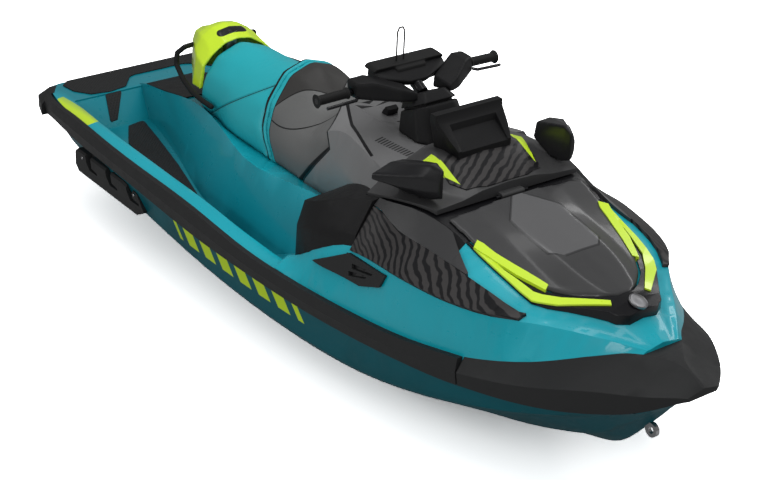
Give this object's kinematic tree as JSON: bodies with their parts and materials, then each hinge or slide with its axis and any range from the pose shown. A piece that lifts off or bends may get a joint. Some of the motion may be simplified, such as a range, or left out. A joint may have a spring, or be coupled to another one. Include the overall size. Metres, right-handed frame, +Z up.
{
  "type": "personal watercraft",
  "caption": "Three-seat sit-on personal watercraft with deep-vee hull, jet drive, handlebar steering, front hood lid and lifting tow pylon.",
  "frame": {"origin": "on the centreline at the waterline, below the front of the seat", "axes": "+X towards the bow, +Y to port, +Z up"},
  "size_m": [3.4397, 1.2556, 1.2314],
  "materials": {
    "hull_gelcoat": "dark teal gelcoat",
    "deck_gelcoat": "light metallic teal gelcoat",
    "black_plastic": "satin black plastic",
    "grey_plastic": "satin grey plastic",
    "striped_panel": "dark panel with fine wavy stripes",
    "lime_plastic": "lime gloss",
    "mat_foam": "ribbed foam mat",
    "seat_teal": "teal marine vinyl",
    "seat_dark": "dark marine vinyl",
    "strap_web": "grey webbing",
    "grip_rubber": "moulded rubber",
    "bare_alloy": "cast and machined alloy",
    "steel": "polished stainless steel",
    "engine_paint": "engine casting"
  },
  "bodies": {
    "root": {"hull_shell": "hull_gelcoat", "deck_body": "deck_gelcoat", "rail_port": "black_plastic", "rail_starboard": "black_plastic", "bow_bumper": "black_plastic", "stern_bumpers": "black_plastic", "platform_mat": "mat_foam", "footwell_mats": "mat_foam", "step_mats": "mat_foam", "rear_deck_mat": "mat_foam", "seat_rear": "seat_teal", "seat_front": "seat_dark", "seat_strap": "strap_web", "console_body": "grey_plastic", "nose_cowl": "grey_plastic", "nose_surround": "black_plastic", "fairing_caps": "grey_plastic", "side_fairing_port": "striped_panel", "side_fairing_starboard": "striped_panel", "accent_blades": "lime_plastic", "side_vents": "black_plastic", "speaker_pods": "black_plastic", "steering_column": "black_plastic", "engine_block": "engine_paint", "pump_housing": "bare_alloy", "ride_plate": "bare_alloy", "intake_grate": "bare_alloy", "sponsons": "black_plastic", "bow_eye": "steel", "stern_eyes": "steel"},
    "steering": {"handlebar": "black_plastic", "steering_cover": "grey_plastic", "grips": "grip_rubber", "switch_housings": "black_plastic", "control_levers": "black_plastic", "handlebar_pad": "grip_rubber", "tether_loop": "steel"},
    "nozzle": {"steering_nozzle": "bare_alloy"},
    "bucket": {"reverse_bucket": "black_plastic"},
    "impeller": {"impeller": "steel", "driveshaft": "steel"},
    "pylon": {"pylon_post": "bare_alloy", "pylon_hood": "lime_plastic", "tow_pin": "steel", "spotter_grips": "black_plastic"},
    "hood": {"hood_lid": "grey_plastic", "hood_panel": "striped_panel", "gauge_pod": "black_plastic", "mirror_port": "black_plastic", "mirror_starboard": "black_plastic"},
    "glovebox": {"glovebox_lid": "grey_plastic", "lid_latch": "black_plastic"}
  },
  "joints": [
    {"name": "steering_turn", "type": "hinge", "parent": "root", "child": "steering", "pos_m": [0.55, 0, 0.69], "axis": [-0.4226, 0, 0.9063], "range_deg": [-33, 33]},
    {"name": "nozzle_yaw", "type": "hinge", "parent": "root", "child": "nozzle", "pos_m": [-1.26, 0, -0.09], "axis": [0, 0, 1], "range_deg": [-20, 20]},
    {"name": "bucket_swing", "type": "hinge", "parent": "root", "child": "bucket", "pos_m": [-1.26, 0, -0.09], "axis": [0, -1, 0], "range_deg": [0, 72]},
    {"name": "impeller_spin", "type": "hinge", "parent": "root", "child": "impeller", "pos_m": [-1.14, 0, -0.09], "axis": [-1, 0, 0], "continuous": true},
    {"name": "pylon_lift", "type": "slide", "parent": "root", "child": "pylon", "axis": [0, 0, 1], "range_m": [0, 0.26]},
    {"name": "hood_open", "type": "hinge", "parent": "root", "child": "hood", "pos_m": [1.023, 0, 0.577], "axis": [0, 1, 0], "range_deg": [0, 45]},
    {"name": "glovebox_open", "type": "hinge", "parent": "root", "child": "glovebox", "pos_m": [0.409, 0, 0.62], "axis": [0, 1, 0], "range_deg": [0, 45]}
  ],
  "couplings": [
    {"joint": "nozzle_yaw", "follows": "steering_turn", "ratio": -0.6}
  ]
}
